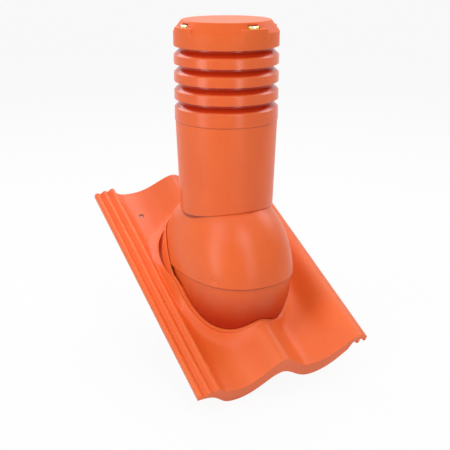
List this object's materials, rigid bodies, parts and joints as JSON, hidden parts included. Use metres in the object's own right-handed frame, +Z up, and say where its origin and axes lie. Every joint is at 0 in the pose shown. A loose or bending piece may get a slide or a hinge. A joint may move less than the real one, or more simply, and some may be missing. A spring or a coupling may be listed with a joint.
{
  "type": "roof tile vent",
  "caption": "Interlocking roof tile with a tilting ball hood, a tapered pipe casing and a louvred cowl with a rain cap.",
  "frame": {"origin": "centre of the inner duct's lower end", "axes": "+Z up along the upright duct, +X across the slope to the right as seen from the eaves, +Y level towards the ridge"},
  "size_m": [0.2885, 0.4364, 0.5482],
  "materials": {
    "tile_plastic": "smooth satin, moulded in terracotta",
    "hood_plastic": "smooth satin, moulded in terracotta",
    "cage_plastic": "matt dark red",
    "duct_plastic": "satin grey pipe",
    "duct_foam": "soft light foam",
    "seal_rubber": "matt black rubber",
    "screw_steel": "plain steel",
    "vial_clear": "clear",
    "vial_fluid": "yellow-green spirit with a bubble"
  },
  "bodies": {
    "tile": {"tile_base": "tile_plastic", "socket_collar": "tile_plastic", "lower_shell": "tile_plastic", "flange_gasket": "seal_rubber", "flange_screws": "screw_steel", "wiper_seal": "seal_rubber"},
    "stack": {"upper_shell": "hood_plastic", "casing_tube": "hood_plastic", "inner_duct": "duct_plastic", "insulation_sleeve": "duct_foam", "neck_spacer": "duct_plastic", "louvre_collar": "hood_plastic", "louvre_cage": "cage_plastic", "louvre_ring_lower": "hood_plastic", "louvre_ring_middle": "hood_plastic", "louvre_ring_upper": "hood_plastic", "rain_cap": "hood_plastic", "level_vial_front": "vial_clear", "level_vial_left": "vial_clear", "vial_fluid_front": "vial_fluid", "vial_fluid_left": "vial_fluid"}
  },
  "joints": [
    {"name": "pipe_tilt", "type": "hinge", "parent": "tile", "child": "stack", "pos_m": [0, 0, 0.1], "axis": [1, 0, 0], "range_deg": [-14, 15]}
  ]
}
